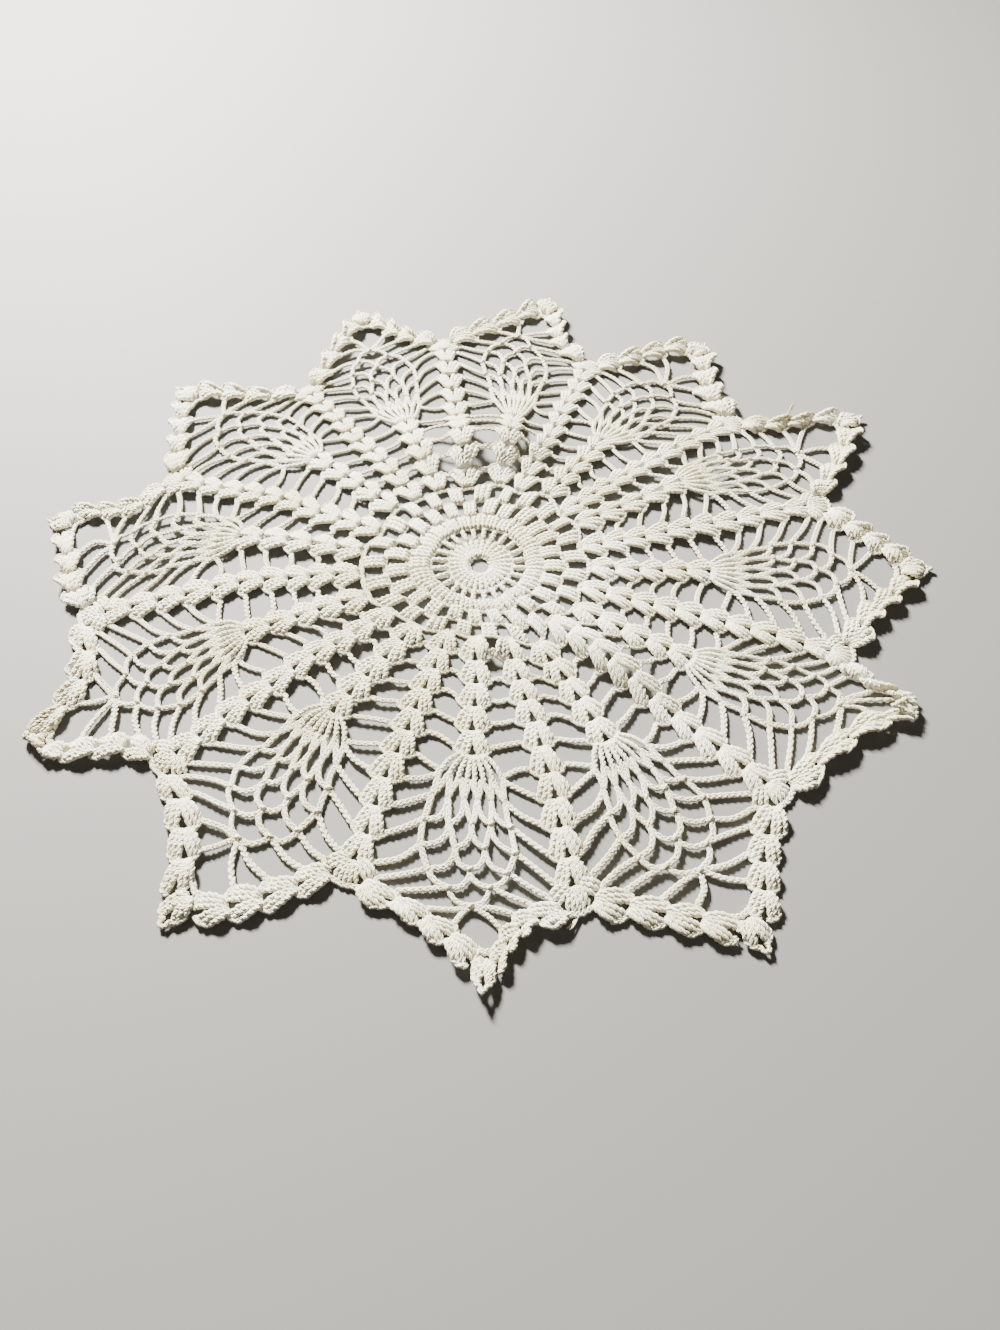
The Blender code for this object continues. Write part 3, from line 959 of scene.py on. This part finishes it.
# For each end, the step from place to place, and its heights; then how far
# out from the notch's last hole the second one starts.
RISING_STEP = complex(1.2, 1.5)
RISING_HEIGHTS = (2.0, 2.6, 3.2, 3.9, 4.9, 6.2)
LYING_STEP = complex(-1.1, 1.7)
LYING_HEIGHTS = (1.2, 1.2, 1.1, 1.0, 1.0, 1.0)
LYING_START = 11.0


def cluster(yarn, sector):
    """The three groups of stitches in the last hole of a notch."""
    def at(across, out):
        return beside(0.5, across, hole_radius(NOTCH_ROUND) + out)

    def cord(path):
        chain(yarn, sector, [at(across, out) for across, out in path])

    for i in range(-2, 3):
        foot = at(MIDDLE_FOOT_STEP * i, MIDDLE_FOOT)
        head = at(MIDDLE_TOP_STEP * i, MIDDLE_TOP - MIDDLE_FALL * i * i)
        post(yarn, sector, foot, head, MIDDLE_BULGE * i)
    cord(mirrored(MIDDLE_CORD, [MIDDLE_CORD_TOP]))
    for side in (-1, 1):
        for i, (across, out) in enumerate(OUTER_TOPS):
            aside = OUTER_FOOT[0] + OUTER_FOOT_STEP[0] * i
            foot = at(side * aside, OUTER_FOOT[1] + OUTER_FOOT_STEP[1] * i)
            post(yarn, sector, foot, at(side * across, out), side * OUTER_BULGE * i)
        cord([(side * across, out) for across, out in OUTER_CORD])


def edging(yarn):
    """The clusters in the notches, the shells along the edges to the tips, and
    the picots on the tips."""
    base, hole = complex(0.0, TIP_RADIUS - TIP_BASE), complex(0.0, TIP_RADIUS - TIP_HOLE)
    picot = mirrored(PICOT_SIDE, [PICOT_TOP])
    picot = [complex(across, TIP_RADIUS + out) for across, out in picot]
    for sector in range(SECTORS):
        cluster(yarn, sector)
        for side in (-1, 1):
            for n in range(1, EDGE_SHELLS):
                leaf_pair(yarn, sector, edge_hole(side, n - 1), edge_hole(side, n), EDGE_SPREAD)
        leaf_pair(yarn, sector, base, hole, TIP_SPREAD)
        chain(yarn, sector, picot, EDGE_LIFT, PICOT_SWING)


def loose_end(yarn, sector, start, step, heights):
    """A cut end of the thread, its two plies parting."""
    line = [strand_place(sector, start + step * i, height) for i, height in enumerate(heights)]
    yarn.tube(line, THREAD)
    aside, away = PLY_STEP
    parting = [(x + aside * i, y + away * i, z + PLY_LIFT) for i, (x, y, z) in enumerate(line)]
    yarn.tube(parting, PLY)


def loose_ends(yarn):
    """Two ends that have worked out of the edging."""
    loose_end(yarn, 6, edge_corner(1, 2, EDGE_TOP), RISING_STEP, RISING_HEIGHTS)
    notch = beside(0.5, 0.0, hole_radius(NOTCH_ROUND) + LYING_START)
    loose_end(yarn, 2, notch, LYING_STEP, LYING_HEIGHTS)


# --------------------------------------------------------------- materials
def add_node(tree, kind, inputs=None, **settings):
    """A node with its settings, and its inputs linked or set."""
    node = tree.nodes.new(kind)
    for key, value in settings.items():
        setattr(node, key, value)
    for key, value in (inputs or {}).items():
        if isinstance(value, bpy.types.NodeSocket):
            tree.links.new(value, node.inputs[key])
        else:
            node.inputs[key].default_value = value
    return node


def math_node(tree, operation, a, b):
    """What an operation gives for two numbers or outputs of nodes."""
    return add_node(tree, "ShaderNodeMath", {0: a, 1: b}, operation=operation).outputs[0]


def noise_node(tree, place, scale, detail):
    """Noise with that many waves in a metre."""
    inputs = {"Vector": place, "Scale": scale, "Detail": detail}
    return add_node(tree, "ShaderNodeTexNoise", inputs).outputs["Fac"]


def two_tones(tree, value, low, high):
    """A colour between two, each given with the value from which it holds."""
    ramp = add_node(tree, "ShaderNodeValToRGB", {"Fac": value})
    for stop, (position, colour) in zip(ramp.color_ramp.elements, (low, high)):
        stop.position = position
        stop.color = colour
    return ramp.outputs["Color"]


def new_material(name, settings):
    """A material whose surface has these inputs set."""
    material = bpy.data.materials.new(name)
    material.use_nodes = True
    surface = material.node_tree.nodes["Principled BSDF"]
    for key, value in settings.items():
        surface.inputs[key].default_value = value
    return material


def strand_relief(tree, place):
    """Plies that run round a strand as they run along it, and loose fibres."""
    strand = add_node(tree, "ShaderNodeUVMap", uv_map="strand").outputs["UV"]
    split = add_node(tree, "ShaderNodeSeparateXYZ", {0: strand})
    round_it = math_node(tree, "MULTIPLY", split.outputs["X"], PLIES)
    along_it = math_node(tree, "MULTIPLY", split.outputs["Y"], PLIES / PLY_LENGTH)
    slope = math_node(tree, "ADD", round_it, along_it)
    wave = math_node(tree, "SINE", math_node(tree, "MULTIPLY", slope, 2.0 * math.pi), 0.0)
    plies = math_node(tree, "MULTIPLY", wave, PLY_HEIGHT)
    fibres = math_node(tree, "MULTIPLY", noise_node(tree, place, *FIBRES), FIBRE_HEIGHT)
    relief = math_node(tree, "ADD", plies, fibres)
    inputs = {"Height": relief, "Strength": RELIEF_STRENGTH, "Distance": RELIEF_DEPTH}
    return add_node(tree, "ShaderNodeBump", inputs).outputs["Normal"]


def cotton_material():
    """Soft off-white cotton yarn: plies twisted round each other, loose fibres,
    darker tan patches of painted shade spread at random, and painted shade in the
    hollows between tufts."""
    cotton = new_material("cream cotton yarn", COTTON_SURFACE)
    tree = cotton.node_tree
    surface = tree.nodes["Principled BSDF"]
    place = add_node(tree, "ShaderNodeTexCoord").outputs["Object"]
    # The tone: the cream of the cotton, with darker tan patches of painted shade spread at random.
    tone = two_tones(tree, noise_node(tree, place, *PATCHES), PAINTED_SHADE_TAN, PALE)
    # Flecks of painted shade: darker in the hollows between tufts, unchanged on the tufts.
    tuft_painted_shade = two_tones(tree, noise_node(tree, place, *TUFTS), HOLLOW_PAINTED_SHADE, TUFT)
    inputs = {"Fac": 1.0, "Color1": tone, "Color2": tuft_painted_shade}
    mixed = add_node(tree, "ShaderNodeMixRGB", inputs, blend_type="MULTIPLY")
    tree.links.new(mixed.outputs["Color"], surface.inputs["Base Color"])
    tree.links.new(strand_relief(tree, place), surface.inputs["Normal"])
    return cotton


# ------------------------------------------------------------------- stage
def make_floor():
    """A plain pale floor."""
    mesh = bpy.data.meshes.new("floor")
    signs = ((-1, -1), (1, -1), (1, 1), (-1, 1))
    corners = [(x * FLOOR_REACH, y * FLOOR_REACH, 0.0) for x, y in signs]
    mesh.from_pydata(corners, [], [(0, 1, 2, 3)])
    mesh.materials.append(new_material("pale floor", FLOOR_SURFACE))
    floor = bpy.data.objects.new("floor", mesh)
    bpy.context.scene.collection.objects.link(floor)


def make_light(name, place, size, power, colour):
    """A round light that faces the doily."""
    lamp = bpy.data.lights.new(name, "AREA")
    lamp.shape = "DISK"
    lamp.size = size
    lamp.energy = power
    lamp.color = colour
    light = bpy.data.objects.new(name, lamp)
    light.location = place
    light.rotation_euler = Vector(place).to_track_quat("Z", "Y").to_euler()
    bpy.context.scene.collection.objects.link(light)


def make_lights():
    """Daylight from behind on the left, and a faint, warm light from before."""
    make_light("window", *WINDOW)
    make_light("fill", *FILL)
    world = bpy.data.worlds.new("studio")
    world.use_nodes = True
    background = world.node_tree.nodes["Background"]
    background.inputs["Color"].default_value = WORLD_COLOUR
    background.inputs["Strength"].default_value = WORLD_STRENGTH
    bpy.context.scene.world = world


def make_camera():
    """The camera stands before the doily and looks down on it."""
    lens = bpy.data.cameras.new("camera")
    lens.sensor_fit = "AUTO"
    lens.sensor_width = SENSOR
    lens.lens = SENSOR * FOCAL_PIXELS / PICTURE_HEIGHT
    camera = bpy.data.objects.new("camera", lens)
    tilt = Matrix.Rotation(math.radians(90.0 - CAMERA_DOWN), 4, "X")
    roll = Matrix.Rotation(math.radians(CAMERA_ROLL), 4, "Z")
    place = Vector(CAMERA_PLACE) - Vector(FOOT)
    camera.matrix_world = Matrix.Translation(place * MM) @ tilt @ roll
    bpy.context.scene.collection.objects.link(camera)
    bpy.context.scene.camera = camera


PIECES = (
    ("centre_rounds", centre_rounds),
    ("pineapple_shells", pineapple_shells),
    ("notch_shells", notch_shells),
    ("edging", edging),
    ("net", net),
    ("side_chains", side_chains),
    ("loose_ends", loose_ends),
)


def dress():
    """Every piece of yarn, in place of the part that it stands for."""
    cotton = cotton_material()
    for name, build in PIECES:
        yarn = Yarn()
        build(yarn)
        piece = yarn.piece(name, cotton)
        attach(piece, "root")
        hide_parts("doily")


dress()
make_camera()
make_lights()
make_floor()
